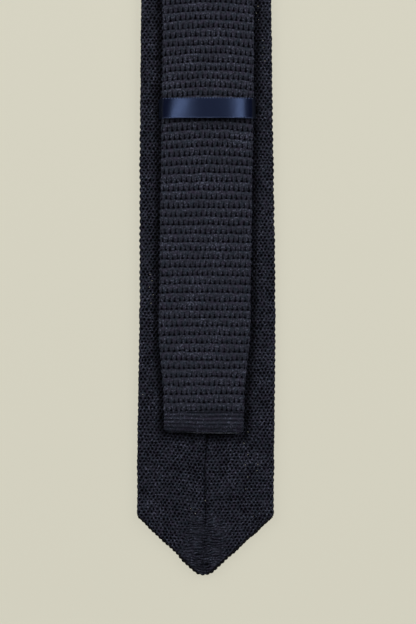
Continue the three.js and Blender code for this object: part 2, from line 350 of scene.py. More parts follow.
def ridgeRelief(around, run, x):
    knit = ridgeKnit
    fromTip = 2 * bladeRun + turnRun - run
    looser = ease((fromTip - knit["looser"][0]) / knit["looser"][1])
    bow = knit["bow"][0] + knit["bow"][1] * ease((fromTip - 0.15) / 0.05)
    bow = bow * (1 - (2 * x / tieWidth(run)) ** 2)
    course = (run + bow) / knit["course"] + knit["loose"] * softNoise(around / 0.008, run / 0.004, 21)
    course = course + knit["jitter"][0] * softNoise(around / 0.0022, run / 0.0025, 22)
    wale = around / knit["wale"] + knit["loose"] * softNoise(around / 0.006, run / 0.006, 23)
    wale = wale + knit["jitter"][1] * softNoise(around / 0.0022, run / 0.0025, 24)
    ridge = np.floor(course)
    down = course - ridge
    offset = wale + 0.5 * (ridge % 2)
    stitch = np.round(offset)
    offset = offset - stitch
    # each ridge rises steeply, then falls away to the openings at its foot
    body = np.sin(np.pi * np.clip(down, 0, 1) ** 0.72) ** 0.75
    legs = 0.5 + 0.5 * np.cos(4 * np.pi * offset)
    legs = legs * np.where(np.abs(offset) < 0.25, 1, 0.5)
    chance = softNoise(stitch * 1.31, ridge * 1.73, 27)
    dot = np.exp(-((offset / 0.09) ** 2)) * np.exp(-(((down - 0.58) / 0.08) ** 2))
    slit = np.exp(-((offset / 0.055) ** 2)) * ease((down - 0.34) / 0.18)
    flare = 0.09 + (0.13 + 0.04 * chance) * np.clip((down - 0.70) / 0.22, 0, 1)
    foot = np.exp(-((offset / flare) ** 2)) * ease((down - 0.69 - 0.03 * chance) / 0.12)
    opening = (knit["slit"][0] + knit["slit"][1] * looser) * slit + (0.6 + 0.4 * chance) * dot
    opening = np.clip(opening + foot * (1.1 + 0.2 * chance), 0, 1)
    opening = opening * (1 - ease((down - 0.96) / 0.04))
    tone = 1 + 0.3 * softNoise(around / 0.0025, ridge * 1.7, 28)
    relief = knit["ridge"] * (body - 0.7) * tone - knit["leg"] * (1 + 0.5 * looser) * legs * body
    relief = relief - knit["slitDepth"] * opening
    relief = relief + knit["fuzz"] * softNoise(around / 0.0009, run / 0.0008, 29)
    # painted shade in the openings, in the troughs between the ridges and between the legs
    paintedShading = opening * 1.25 + 0.55 * (1 - body) ** 2 + 0.32 * legs * body
    # its upper side catches the light
    paintedShading = paintedShading + knit["upperLight"] * (1 + looser) * ease((down - 0.22) / 0.4) * body
    return relief, np.clip(paintedShading, 0, 1)


# what the yarn, the ribbon and the threads look like
yarn = {
    "crest": (0.0268, 0.0286, 0.0420),
    # colour that the painted shading darkens the yarn towards: painted shade in the hollows
    "paintedShading": (0.0018, 0.0016, 0.0036),
    "roughness": 0.5,
    "hollowRoughness": 0.95,
    "gloss": 0.05,
    "twist": 0.00042,       # pitch of the twisted yarn
    "twistDepth": 0.00015,
    "range": (0.45, 1.75),  # darkest and lightest stitch, as a share of the crest's colour
    "reddish": (1.25, 0.92, 1.15),
    "greenish": (0.78, 1.05, 1.05),
    "dull": (0.85, 0.98, 0.9),
    "glint": 3.4,
    "glintPatch": 0.35,     # how much the glints gather in patches
    "sheen": 0.01,
}
satin = {
    "colour": (0.0030, 0.0042, 0.0140),
    "paintedTurnShade": (0.0009, 0.0011, 0.0030),   # painted shade where the ribbon turns down
    "roughness": 0.19,
    "dulled": 0.55,                     # added to the roughness where it turns down
    "threads": (8, 160),                # how often they repeat along and across the ribbon
    "gloss": 0.30,
    "shine": (0.36, 0.52, 1.0),
    "edge": (0.090, 0.115, 0.200),      # painted highlight on the tiny loops along its edges
}
thread = {
    "colour": (0.015, 0.016, 0.024),
    # a darker copy of the thread colour, for the overcast seam along the point's edges: painted shade
    "edge": (0.0055, 0.0056, 0.0070),
    "light": (0.036, 0.038, 0.047),
}
mapPerMetre = 10        # units of the cloth's map for one metre of cloth


def newMaterial(name):
    material = bpy.data.materials.new(name)
    material.use_nodes = True
    nodes = material.node_tree.nodes
    return material, nodes, material.node_tree.links, nodes["Principled BSDF"]


def mapOn(nodes, links, mapName, scale, turn=0.0):
    source = nodes.new("ShaderNodeUVMap")
    source.uv_map = mapName
    place = nodes.new("ShaderNodeMapping")
    place.inputs["Scale"].default_value = (scale[0], scale[1], 1)
    place.inputs["Rotation"].default_value = (0, 0, turn)
    links.new(source.outputs["UV"], place.inputs["Vector"])
    return place.outputs["Vector"]


def colourMix(nodes, links, share, first, second):
    mix = nodes.new("ShaderNodeMix")
    mix.data_type = "RGBA"
    links.new(share, mix.inputs["Factor"])
    for socket, value in ((mix.inputs["A"], first), (mix.inputs["B"], second)):
        if isinstance(value, tuple):
            socket.default_value = (*value, 1)
        else:
            links.new(value, socket)
    return mix.outputs["Result"]


def spread(nodes, links, value, fromLow, fromHigh, toLow, toHigh):
    span = nodes.new("ShaderNodeMapRange")
    span.inputs["From Min"].default_value = fromLow
    span.inputs["From Max"].default_value = fromHigh
    span.inputs["To Min"].default_value = toLow
    span.inputs["To Max"].default_value = toHigh
    links.new(value, span.inputs["Value"])
    return span.outputs["Result"]


def clothNoise(nodes, links, size, detail=2.0):
    # noise on the cloth's own map, with features of that size in metres
    noise = nodes.new("ShaderNodeTexNoise")
    noise.inputs["Scale"].default_value = 1 / (mapPerMetre * size)
    noise.inputs["Detail"].default_value = detail
    links.new(mapOn(nodes, links, "cloth", (1, 1)), noise.inputs["Vector"])
    return noise.outputs["Fac"]


def tinted(colour, *factors):
    # a colour times one factor, or times one for each channel
    return tuple(c * k for c, k in zip(colour, factors * 3))


def yarnMaterial(name, crest, roughness):
    material, nodes, links, surface = newMaterial(name)
    depth = nodes.new("ShaderNodeAttribute")
    depth.attribute_name = "paintedShading"
    # tone changes slowly over the cloth, and more from stitch to stitch
    broad = clothNoise(nodes, links, 0.012, 3)
    stitch = clothNoise(nodes, links, 0.0010, 2)
    tint = clothNoise(nodes, links, 0.0024, 2)
    darkest, lightest = yarn["range"]
    tone = colourMix(
        nodes, links, spread(nodes, links, stitch, 0.36, 0.66, 0, 1),
        tinted(crest, darkest), tinted(crest, lightest))
    for field, low, high, most, cast in (
            (tint, 0.52, 0.66, 0.6, "reddish"),
            (tint, 0.48, 0.34, 0.6, "greenish"),
            (broad, 0.35, 0.65, 0.3, "dull")):
        share = spread(nodes, links, field, low, high, 0, most)
        tone = colourMix(nodes, links, share, tone, tinted(crest, *yarn[cast]))
    # glints, more of them in some patches
    glint = nodes.new("ShaderNodeMath")
    glint.operation = "MULTIPLY_ADD"
    links.new(clothNoise(nodes, links, 0.009, 1), glint.inputs[0])
    glint.inputs[1].default_value = yarn["glintPatch"]
    links.new(clothNoise(nodes, links, 0.0008, 1), glint.inputs[2])
    tone = colourMix(
        nodes, links, spread(nodes, links, glint.outputs["Value"], 0.775, 0.875, 0, 1),
        tone, tinted(crest, yarn["glint"]))
    # painted shade: the base colour is mixed towards near black by the painted shading attribute
    colour = colourMix(nodes, links, depth.outputs["Fac"], tone, yarn["paintedShading"])
    links.new(colour, surface.inputs["Base Color"])
    # fine twist of the yarn: a wave of scale 1 repeats every 0.314 units
    twist = nodes.new("ShaderNodeTexWave")
    twist.wave_type = "BANDS"
    twist.inputs["Scale"].default_value = 0.314 / (mapPerMetre * yarn["twist"])
    twist.inputs["Distortion"].default_value = 2.5
    twist.inputs["Detail"].default_value = 1
    links.new(mapOn(nodes, links, "cloth", (1, 1), math.radians(35)), twist.inputs["Vector"])
    bump = nodes.new("ShaderNodeBump")
    bump.inputs["Strength"].default_value = 0.5
    bump.inputs["Distance"].default_value = yarn["twistDepth"]
    links.new(twist.outputs["Fac"], bump.inputs["Height"])
    links.new(bump.outputs["Normal"], surface.inputs["Normal"])
    rough = spread(nodes, links, depth.outputs["Fac"], 0.1, 0.8, roughness, yarn["hollowRoughness"])
    links.new(rough, surface.inputs["Roughness"])
    surface.inputs["Specular IOR Level"].default_value = yarn["gloss"]
    surface.inputs["Sheen Weight"].default_value = yarn["sheen"]
    surface.inputs["Sheen Roughness"].default_value = 0.4
    surface.inputs["Sheen Tint"].default_value = (0.55, 0.6, 0.8, 1)
    return material


def satinMaterial():
    material, nodes, links, surface = newMaterial("navySatin")
    threads = nodes.new("ShaderNodeTexNoise")
    threads.inputs["Scale"].default_value = 10
    threads.inputs["Detail"].default_value = 3
    links.new(mapOn(nodes, links, "ribbon", satin["threads"]), threads.inputs["Vector"])
    colour = colourMix(
        nodes, links, spread(nodes, links, threads.outputs["Fac"], 0.3, 0.7, 0, 1),
        tinted(satin["colour"], 0.8), tinted(satin["colour"], 1.25))
    # the weave opens where the ribbon turns down, which dulls it there; its colour there is painted darker
    # too, as painted shade
    bentAndShaded = nodes.new("ShaderNodeAttribute")
    bentAndShaded.attribute_name = "bentAndShaded"
    colour = colourMix(nodes, links, bentAndShaded.outputs["Fac"], colour, satin["paintedTurnShade"])
    # painted highlight: the edges' tiny loops are painted lighter
    loops = nodes.new("ShaderNodeAttribute")
    loops.attribute_name = "paintedShading"
    colour = colourMix(nodes, links, loops.outputs["Fac"], colour, satin["edge"])
    links.new(colour, surface.inputs["Base Color"])
    bump = nodes.new("ShaderNodeBump")
    bump.inputs["Strength"].default_value = 0.12
    bump.inputs["Distance"].default_value = 0.00005
    links.new(threads.outputs["Fac"], bump.inputs["Height"])
    links.new(bump.outputs["Normal"], surface.inputs["Normal"])
    rough = nodes.new("ShaderNodeMath")
    rough.operation = "ADD"
    for socket, value, low, high, least, most in (
            (0, threads.outputs["Fac"], 0.3, 0.7, satin["roughness"] - 0.04, satin["roughness"] + 0.04),
            (1, bentAndShaded.outputs["Fac"], 0, 1, 0, satin["dulled"])):
        links.new(spread(nodes, links, value, low, high, least, most), rough.inputs[socket])
    links.new(rough.outputs["Value"], surface.inputs["Roughness"])
    surface.inputs["Specular IOR Level"].default_value = satin["gloss"]
    surface.inputs["Specular Tint"].default_value = (*satin["shine"], 1)
    return material


knitCloth = yarnMaterial("navyKnit", yarn["crest"], yarn["roughness"])
hemCloth = yarnMaterial("navyHem", tinted(yarn["crest"], 1.05), 0.55)
darkThread = yarnMaterial("darkThread", thread["colour"], 0.6)
shadedEdgeThread = yarnMaterial("shadedEdgeThread", thread["edge"], 0.6)
lightThread = yarnMaterial("hemThread", thread["light"], 0.5)
navySatin = satinMaterial()
print("materials made")


def newCloth(name, columns, rows):
    # cloth starts as a flat unit grid, with each vertex's share across and along
    work = bmesh.new()
    bmesh.ops.create_grid(work, x_segments=columns, y_segments=rows, size=0.5)
    mesh = bpy.data.meshes.new(name)
    work.to_mesh(mesh)
    work.free()
    flat = np.empty(len(mesh.vertices) * 3)
    mesh.vertices.foreach_get("co", flat)
    flat = flat.reshape(-1, 3) + 0.5
    return mesh, flat[:, 0], flat[:, 1]


def finishCloth(mesh, places, paintedShading, mapName, mapX, mapY, shareX, shareY, material):
    mesh.vertices.foreach_set("co", np.asarray(places, np.float32).ravel())
    # each point's painted shading: on the cloth and threads painted shade in the hollows, on the ribbon
    # painted highlight on its edge loops
    depth = mesh.attributes.new("paintedShading", "FLOAT", "POINT")
    depth.data.foreach_set("value", np.asarray(paintedShading, np.float32))
    corners = np.empty(len(mesh.loops), np.int32)
    mesh.loops.foreach_get("vertex_index", corners)
    inset = 0.004       # of the bake map, from the edge of its square
    maps = (
        (mapName, mapX, mapY),
        ("OFBake", inset + (1 - 2 * inset) * shareX, inset + (1 - 2 * inset) * shareY),
    )
    for layerName, across, along in maps:
        layer = mesh.uv_layers.new(name=layerName)
        layer.data.foreach_set("uv", np.stack([across[corners], along[corners]], 1).ravel())
    mesh.uv_layers.active = mesh.uv_layers[mapName]
    mesh.uv_layers[mapName].active_render = True
    mesh.shade_smooth()
    mesh.materials.append(material)
    mesh.update()
    piece = bpy.data.objects.new(mesh.name, mesh)
    bpy.context.scene.collection.objects.link(piece)
    return piece


def closePoles(mesh, turnOut=False):
    # merge the points that lie on each other
    work = bmesh.new()
    work.from_mesh(mesh)
    bmesh.ops.remove_doubles(work, verts=work.verts[:], dist=0.000001)
    if turnOut:
        bmesh.ops.recalc_face_normals(work, faces=work.faces[:])
    work.to_mesh(mesh)
    work.free()


def follow(piece, bodies, zone=None):
    # the piece rides on a body; with a zone given, its transform is only baked into its points
    if zone is None:
        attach(piece, bodies)
    else:
        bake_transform(piece)


def stepsAround(reach, change, inner, outer):
    # distances round from the middle of the face: inner steps up to the change, then outer steps
    count = round(change / inner)
    near = inner * np.arange(count + 1)
    far = near[-1] + outer * np.arange(1, math.ceil((reach - near[-1]) / outer) + 1)
    half = np.concatenate([near, far])
    return np.concatenate([-half[:0:-1], half])[::-1]


tube = {
    "allowance": 0.0012,        # turned into the tube past the seam
    "edgeInset": 0.0009,        # of the slanting edges, behind their seam
    "flattest": 0.92,           # half thickness to half width, where the point runs out
    "edgeWave": 0.00014,        # of the long edges
    "unevenness": 0.00014,      # slow rise and fall of the flat sides
    "groove": (0.00025, 0.0015),        # depth and half width at the back seam
    "seamWander": 0.0004,
    "calm": 0.002,              # over which the stitches fade where the knit changes
}


def knitTube(name, start, end, knit, steps, rowsPerCourse):
    # one stretch of the flattened tube of knit
    inner, outer, change = steps
    widest = float(np.max(tieWidth(np.linspace(start, end, 50))))
    fullRing = ringSize(widest / 2, tubeRadius)
    columnPlaces = stepsAround(
        fullRing / 2 + tube["allowance"], change(widest), inner * knit["wale"], outer * knit["wale"])
    rows = max(2, round((end - start) / (knit["course"] / rowsPerCourse)))
    mesh, shareX, shareY = newCloth(name, len(columnPlaces) - 1, rows)
    column = np.rint(shareX * (len(columnPlaces) - 1)).astype(int)
    run = start + (end - start) * shareY
    ring = columnPlaces[column]
    half = tieWidth(run) / 2
    fullRing = ringSize(half, tubeRadius)
    pointed = run < pointY - tipY
    half = np.where(pointed, np.minimum(pointHalfWidth(run) - tube["edgeInset"], half), half)
    radius = np.minimum(tubeRadius, tube["flattest"] * half)
    ringLength = ringSize(half, radius)
    ring = ring * ringLength / fullRing
    onTail = run > bladeRun + turnRun / 2
    x, up, normalX, normalUp, visible = acrossTie(ring, half, radius, np.where(onTail, -1, 1))
    # wales run straight, and the slanting edges of the point cut across them
    far = np.abs(ring)
    wales = np.where(far < ringLength / 4, far, fullRing / 2 - (ringLength / 2 - far))
    wales = wales * np.sign(ring)
    relief, paintedShading = (ridgeRelief if knit is ridgeKnit else meshRelief)(wales, run, x)
    relief = relief * visible * ease(np.abs(run - knitChange) / tube["calm"])
    onEdge = np.abs(normalX)
    scallops = np.cos(np.pi * run / meshKnit["course"])
    relief = relief * (1 - 0.35 * onEdge) + onEdge * visible * tube["edgeWave"] * scallops
    relief = relief + onEdge * tube["edgeWave"] * softNoise(run / 0.006, x * 0, 31)
    lift = tube["unevenness"] * softNoise(x / 0.02, run / 0.018, 33) * np.abs(normalUp)
    grooveDepth, grooveHalf = tube["groove"]
    groove = np.exp(-((x / grooveHalf) ** 2)) * (up > 0) * (0.25 + 0.75 * ease((run - 0.018) / 0.014))
    relief = relief + lift * visible - grooveDepth * groove
    # painted shade where the fabric turns into the tube, in the back seam's groove, and along the blade's
    # rounded long edges
    paintedShading = np.maximum(paintedShading, 0.4 * (1 - visible)) + 0.16 * groove
    paintedShading = np.maximum(paintedShading, 0.5 * onEdge * ~onTail)
    x = x + relief * normalX + sway(run)
    y, z, headY, headZ = alongTie(run)
    settle, shade = pressedAndShaded(x, y)
    onBack = (up > 0) & ~onTail
    up = up + relief * normalUp + np.where(onBack, settle, 0) * np.abs(normalUp)
    # painted shade from the tail darkens the blade's back beside and under it
    paintedShading = np.clip(paintedShading + np.where(onBack, shade, 0) * (1 - paintedShading), 0, 1)
    wander = tube["seamWander"] * softNoise(run / 0.006, run * 0, 35)
    x = x + wander * np.exp(-((x / 0.005) ** 2)) * (up > 0)
    places = np.stack([x, y - up * headZ, z + up * headY], 1)
    piece = finishCloth(
        mesh, places, paintedShading, "cloth", wales * mapPerMetre, run * mapPerMetre, shareX, shareY,
        knitCloth)
    if end < bladeRun / 2:
        cutOpenings(piece, start, end, paintedShading)
    return piece


# stitches that line up in both layers let the floor show through
openStitches = {
    "columns": (            # x, lowest and highest run, and how many
        (0.0179, 0.0379, 0.0629, 6),
        (0.0252, 0.2160, 0.2345, 7),
        (0.0228, 0.2405, 0.2495, 4),
        (-0.0241, 0.1200, 0.1350, 6),
    ),
    "others": (             # x and run
        (-0.0065, 0.0296), (-0.0030, 0.0296), (-0.0048, 0.0270), (0.0202, 0.0261), (-0.0118, 0.0112),
        (0.0232, 0.0488), (0.0224, 0.0458), (0.0188, 0.0436), (-0.0276, 0.0795),
    ),
    "shrink": 0.62,         # of the facet that opens in the back
    "reach": 0.0005,        # of the opening in the face
}


def cutOpenings(piece, start, end, paintedShading):
    places = list(openStitches["others"])
    for x, low, high, count in openStitches["columns"]:
        steps = np.linspace(low, high, count)
        places += [(x + 0.0006 * math.sin(2.6 * i), y) for i, y in enumerate(steps)]
    places = [p for p in places if start + 0.001 < p[1] < end - 0.001]
    if not places:
        return
    points = np.empty(len(piece.data.vertices) * 3, np.float32)
    piece.data.vertices.foreach_get("co", points)
    points = points.reshape(-1, 3)
    work = bmesh.new()
    work.from_mesh(piece.data)
    work.faces.ensure_lookup_table()
    centres = np.array([f.calc_center_median()[:] for f in work.faces])
    back = centres[:, 2] > thickness / 2
    doomed = np.zeros(len(centres), bool)
    for x, y in places:
        # the deepest opening near the place
        away = np.hypot(points[:, 0] - x, points[:, 1] - tipY - y)
        near = np.flatnonzero((away < 0.0012) & (points[:, 2] > thickness / 2))
        best = points[near[np.argmax(paintedShading[near] - 200 * away[near])]]
        away = np.hypot(centres[:, 0] - best[0], centres[:, 1] - best[1])
        upper = int(np.argmin(away + back * -1.0))
        middle = work.faces[upper].calc_center_median()
        for corner in work.faces[upper].verts:
            corner.co = middle + (corner.co - middle) * openStitches["shrink"]
        doomed[upper] = True
        doomed |= (away < openStitches["reach"]) & ~back
    faces = [work.faces[i] for i in np.flatnonzero(doomed)]
    bmesh.ops.delete(work, geom=faces, context="FACES")
    work.to_mesh(piece.data)
    work.free()


tubes = []


def addTube(name, start, end, knit, steps, rowsPerCourse, nodes, bodies, zone=None):
    piece = knitTube(name, start, end, knit, steps, rowsPerCourse)
    follow(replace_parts(piece, *nodes), bodies, zone)
    # half widths of the tube along its length
    run = np.linspace(start, end, 200)
    half = tieWidth(run) / 2
    half = np.where(run < pointY - tipY, np.minimum(pointHalfWidth(run), half), half)
    tubes.append(piece)


# where the stretches of knit meet, as run of fabric
slackRun = slackStartY - tipY
foldRun = foldStartY - tipY
bladePlaces = (0.0005, 0.084, 0.168, 0.252, 0.365, slackRun)
tailSplitY = -0.065
bendRun = tailRun(tailBendY + 0.004)

# zones of pieces that lie between two bodies: from y, to y, and at what height
pointZone = (pointY, pointY - 0.012, thickness)
bladeZone = (slackStartY, foldStartY, 0)
tailZone = (foldStartY, slackStartY, thickness)
tailEndZone = (tailBendY, tailBendY - 0.014, tailBottom + thickness)

# steps round the tube, in wales: on the first side, on the second, and how far round they change
bladeFine = (1 / 3, 1 / 6, lambda width: width / 2 - 0.001)
bladePlain = (1 / 3, 1 / 4, lambda width: width / 2 - 0.001)
tailFine = (1 / 8, 1 / 4, lambda width: width / 2 + 0.002)
tailPlain = (1 / 5, 1 / 4, lambda width: width / 2 + 0.002)

addTube("knitPoint", *bladePlaces[0:2], meshKnit, bladeFine, 4.5, ["point_shell", "blade_shell"],
        ("blade", "blade_point"), pointZone)
addTube("knitBladeLower", *bladePlaces[1:3], meshKnit, bladeFine, 4.5, ["blade_shell"], "blade")
addTube("knitBladeMiddle", *bladePlaces[2:4], meshKnit, bladeFine, 4.5, ["blade_shell"], "blade")
addTube("knitBladeUpper", *bladePlaces[3:5], meshKnit, bladePlain, 3, ["blade_shell"], "blade")
addTube("knitBladeTaper", *bladePlaces[4:6], meshKnit, bladePlain, 3, ["blade_shell"], "blade")
addTube("knitBladeSlack", slackRun, knitChange, meshKnit, bladePlain, 3, ["blade_slack_shell"],
        ("blade", "neck_fold"), bladeZone)
addTube("knitNeckSlack", knitChange, foldRun, ridgeKnit, tailPlain, 8, ["blade_slack_shell"],
        ("blade", "neck_fold"), bladeZone)
addTube("knitNeckFold", foldRun, tailRun(foldStartY), ridgeKnit, tailPlain, 8, ["neck_fold_shell"],
        "neck_fold")
addTube("knitTailSlack", tailRun(foldStartY), tailRun(slackStartY), ridgeKnit, tailPlain, 8,
        ["tail_slack_shell"], ("neck_fold", "tail"), tailZone)
addTube("knitTailUpper", tailRun(slackStartY), tailRun(tailSplitY), ridgeKnit, tailPlain, 8,
        ["tail_shell"], "tail")
addTube("knitTailMiddle", tailRun(tailSplitY), bendRun, ridgeKnit, tailFine, 12,
        ["tail_shell"], "tail")
addTube("knitTailEnd", bendRun, tailRun(hemTopY), ridgeKnit, tailFine, 12,
        ["tail_shell", "tail_end_shell"], ("tail", "tail_end"), tailEndZone)
print("knit laid:", sum(len(t.data.polygons) for t in tubes) * 2, "triangles")


# the hem band at the tail's end
hem = {
    "columns": 320,
    "rows": 90,
    "ribs": 5.5,
    "ribHeight": 0.00030,
    "stitch": 0.0011,
    "stitchHeight": 0.00004,
    "cornerRadius": 0.0025,
    "closing": 0.0016,      # over which its two layers come together at the end
    "droop": 0.25,          # how much flatter it is at the end
    "wave": 0.0004,         # of its lower edge
    "gap": 0.0002,          # left for the thread
}


def makeHemBand():
    mesh, shareX, shareY = newCloth("tailHemBand", hem["columns"], hem["rows"])
    length = hemTopY - hemY - hem["gap"]
    along = shareY * length
    toEnd = length - along
    y = hemTopY - along
    run = tailRun(y)
    corner = hem["cornerRadius"]
    cut = np.clip(corner - toEnd, 0, corner)
    pull = corner - np.sqrt(np.clip(corner**2 - cut**2, 0, None))
    half = hemWidth / 2 - 0.6 * pull
    closing = np.sqrt(np.clip(1 - np.clip(1 - toEnd / hem["closing"], 0, 1) ** 2, 0.0016, 1))
    flatness = (1 - 0.12 * ease(along / 0.002)) * (1 - hem["droop"] * ease((along / length - 0.4) / 0.6))
    radius = tubeRadius * closing * flatness
    ring = (1 - 2 * shareX) * (ringSize(half, radius) / 2 - shape["slitHalf"])
    x, up, normalX, normalUp, _ = acrossTie(ring, half, radius, np.full_like(ring, -1))
    rib = np.cos(2 * np.pi * (hem["ribs"] * along / length + 0.08 * softNoise(x / 0.009, along * 0, 41)))
    weaker = 1 - 0.55 * ease((along / length - 0.35) / 0.5)
    stitches = np.cos(2 * np.pi * x / hem["stitch"]) * np.cos(4 * np.pi * hem["ribs"] * along / length)
    relief = hem["ribHeight"] * (rib - 1) * 0.5 * weaker + hem["stitchHeight"] * stitches
    relief = relief * closing
    wave = hem["wave"] * softNoise(x / 0.009 + 4, along * 0, 43) * ease(along / length)
    x = x + relief * normalX + sway(run)
    up = up + relief * normalUp
    z = alongTie(run)[1] - tubeRadius * (1 - flatness) + 0.0001
    places = np.stack([x, y - wave, z - up], 1)
    # painted shade in the grooves of the ribs and stitches, and more towards the lower end where the hem
    # curves down
    paintedShading = 0.21 * (1 - rib) * weaker + 0.12 * (1 - stitches)
    paintedShading = np.clip(paintedShading + 0.30 * ease((along / length - 0.5) / 0.3), 0, 1)
    band = finishCloth(
        mesh, places, paintedShading, "cloth", ring * mapPerMetre, run * mapPerMetre, shareX, shareY,
        hemCloth)
    follow(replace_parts(band, "tail_hem_band"), "tail_end")


makeHemBand()


def sewnThread(name, line, radius, turns, material, wrap, squeeze=1.0):
    # a tube of yarn along a line of points, with plies that are raised by the share wrap
    sides, rowCount = 8, len(line) - 1
    mesh, shareX, shareY = newCloth(name, sides, rowCount)
    row = np.rint(shareY * rowCount).astype(int)
    heading = np.gradient(line, axis=0)
    heading = heading / np.linalg.norm(heading, axis=1)[:, None]
    sideways = np.cross(heading, (0.0, 0.0, 1.0))
    sideways = sideways / np.maximum(np.linalg.norm(sideways, axis=1)[:, None], 1e-6)
    upright = np.cross(sideways, heading)
    angle = -2 * np.pi * shareX
    length = np.concatenate([[0], np.cumsum(np.linalg.norm(np.diff(line, axis=0), axis=1))])
    ply = wrap * np.abs(np.sin(angle + np.pi * turns * length[row] / length[-1]))
    fromEnd = np.minimum(row, rowCount - row)
    size = radius * (1 + ply) * np.clip(fromEnd / 2, 0, 1)
    places = line[row] + sideways[row] * (size * np.cos(angle))[:, None]
    places = places + upright[row] * (size * squeeze * np.sin(angle))[:, None]
    # painted shade between the plies
    paintedShading = 0.3 * np.clip(1 - ply / wrap, 0, 1)
    piece = finishCloth(
        mesh, places, paintedShading, "cloth", shareX * 0.02, length[row] * mapPerMetre, shareX, shareY,
        material)
    closePoles(piece.data)
    return piece


# the thread that closes the tube down its back
backSeam = {
    "stitch": 0.0028,
    "radius": 0.00025,
    "sunk": 0.0004,         # below the back of the knit
    "rise": 0.00012,        # of each stitch
    "reach": 0.0005,        # to each side
    "drawnReach": 0.0022,   # further to each side near the tip, where the stitches are drawn out
    "drawnRun": (0.020, 0.012),         # where that ends, and over what length
    "turns": 400,
    "wrap": 0.15,
}


def backSeamLine(start, end):
    count = max(8, round((end - start) / backSeam["stitch"] * 8))
    run = np.linspace(start, end, count + 1)
    phase = 2 * np.pi * run / backSeam["stitch"]
    y, z, headY, headZ = alongTie(run)
    drawnEnd, drawnFade = backSeam["drawnRun"]
    drawn = 1 - ease((run - drawnEnd) / drawnFade)
    up = tubeRadius - backSeam["sunk"] * (1 - 1.8 * drawn) + backSeam["rise"] * np.cos(2 * phase)
    x = (backSeam["reach"] + backSeam["drawnReach"] * drawn) * np.sin(phase) + sway(run)
    return np.stack([x, y - up * headZ, z + up * headY], 1)


def addBackSeam(name, start, end, nodes, bodies, zone=None):
    piece = sewnThread(
        name, backSeamLine(start, end), backSeam["radius"], backSeam["turns"], darkThread, backSeam["wrap"])
    follow(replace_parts(piece, *nodes), bodies, zone)


seamSplit = bladePlaces[1]
addBackSeam("seamPoint", 0.004, seamSplit, ["point_back_seam"], ("blade", "blade_point"), pointZone)
addBackSeam("seamBlade", seamSplit, slackRun, ["blade_back_seam"], "blade")
addBackSeam("seamBladeSlack", slackRun, foldRun, ["blade_slack_back_seam"],
            ("blade", "neck_fold"), bladeZone)
addBackSeam("seamNeckFold", foldRun, tailRun(foldStartY), ["neck_fold_back_seam"], "neck_fold")
addBackSeam("seamTailSlack", tailRun(foldStartY), tailRun(slackStartY), ["tail_slack_back_seam"],
            ("neck_fold", "tail"), tailZone)
addBackSeam("seamTail", tailRun(slackStartY), bendRun, ["tail_back_seam"], "tail")
addBackSeam("seamTailEnd", bendRun, tailRun(hemTopY), ["tail_end_back_seam"],
            ("tail", "tail_end"), tailEndZone)

# the overcast seam along the two slanting edges of the point
edgeSeam = {
    "radius": 0.0006,
    "tall": 1.8,            # height to width
    "stitch": 0.0021,
    "bump": 0.0005,         # of each stitch, outwards
    "uneven": 0.00035,
    "wrap": 0.3,
    "points": 700,
}


def pointEdgeLine(inset):
    angle, radius = shape["pointHalfAngle"], shape["tipRadius"] - inset
    turns = np.linspace(-math.pi + angle, -angle, 15)
    centreY = tipY + shape["tipRadius"]
    arc = np.stack([radius * np.cos(turns), centreY + radius * np.sin(turns)], 1)
    reach = bladeWidth / 2 - inset
    topY = arc[-1, 1] + (reach - arc[-1, 0]) / math.tan(angle)
    steps = np.linspace(0, 1, 130)[:, None]
    left = np.array([-reach, topY]) * (1 - steps) + arc[0] * steps
    right = arc[-1] * (1 - steps) + np.array([reach, topY]) * steps
    flat = np.concatenate([left[:-1], arc, right[1:]])
    return np.column_stack([flat, np.full(len(flat), thickness / 2)])


def makePointEdgeSeam():
    line = pointEdgeLine(edgeSeam["radius"])
    place = np.concatenate([[0], np.cumsum(np.linalg.norm(np.diff(line, axis=0), axis=1))])
    even = np.linspace(0, place[-1], edgeSeam["points"])
    line = np.stack([np.interp(even, place, line[:, i]) for i in range(3)], 1)
    outward = np.stack([line[:, 0], line[:, 1] - pointY, 0 * line[:, 0]], 1)
    outward = outward / np.linalg.norm(outward, axis=1)[:, None]
    bumps = edgeSeam["bump"] * (np.abs(np.sin(np.pi * even / edgeSeam["stitch"])) - 0.6)
    uneven = edgeSeam["uneven"] * softNoise(even / 0.004, even * 0, 51)
    line = line + outward * (bumps + uneven)[:, None]
    line[:, 0] += sway(line[:, 1] - tipY)
    turns = 2 * place[-1] / edgeSeam["stitch"]
    piece = sewnThread(
        "pointEdgeSeam", line, edgeSeam["radius"], turns, shadedEdgeThread, edgeSeam["wrap"], edgeSeam["tall"])
    follow(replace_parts(piece, "point_edge_seam"), ("blade", "blade_point"), pointZone)


makePointEdgeSeam()

hemThread = {
    "radius": 0.00022,
    "stitch": 0.0022,
    "inset": 0.002,         # of its ends, from the hem's edges
    "height": 0.00045,      # above the middle of the hem
    "sunk": 0.0007,         # along the left half
    "turns": 60,
    "wrap": 0.25,
    "points": 240,
}


def makeHemThread():
    half = hemWidth / 2 - hemThread["inset"]
    x = np.linspace(-half, half, hemThread["points"])
    phase = 2 * np.pi * x / hemThread["stitch"]
    wave = hem["wave"] * softNoise(x / 0.009 + 4, x * 0, 43)
    y = hemY + 0.0003 - wave + 0.00005 * np.sin(phase)
    z = tailBottom + thickness / 2 + hemThread["height"] + 0.00008 * np.cos(phase)
    z = z - hemThread["sunk"] * ease((0.002 - x) / 0.012)
    line = np.stack([x + float(sway(np.array(tailRun(hemY)))), y, z], 1)
    piece = sewnThread(
        "tailHemThread", line, hemThread["radius"], hemThread["turns"], lightThread, hemThread["wrap"])
    follow(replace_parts(piece, "tail_hem_thread"), "tail_end")


makeHemThread()
print("seams and hem sewn")


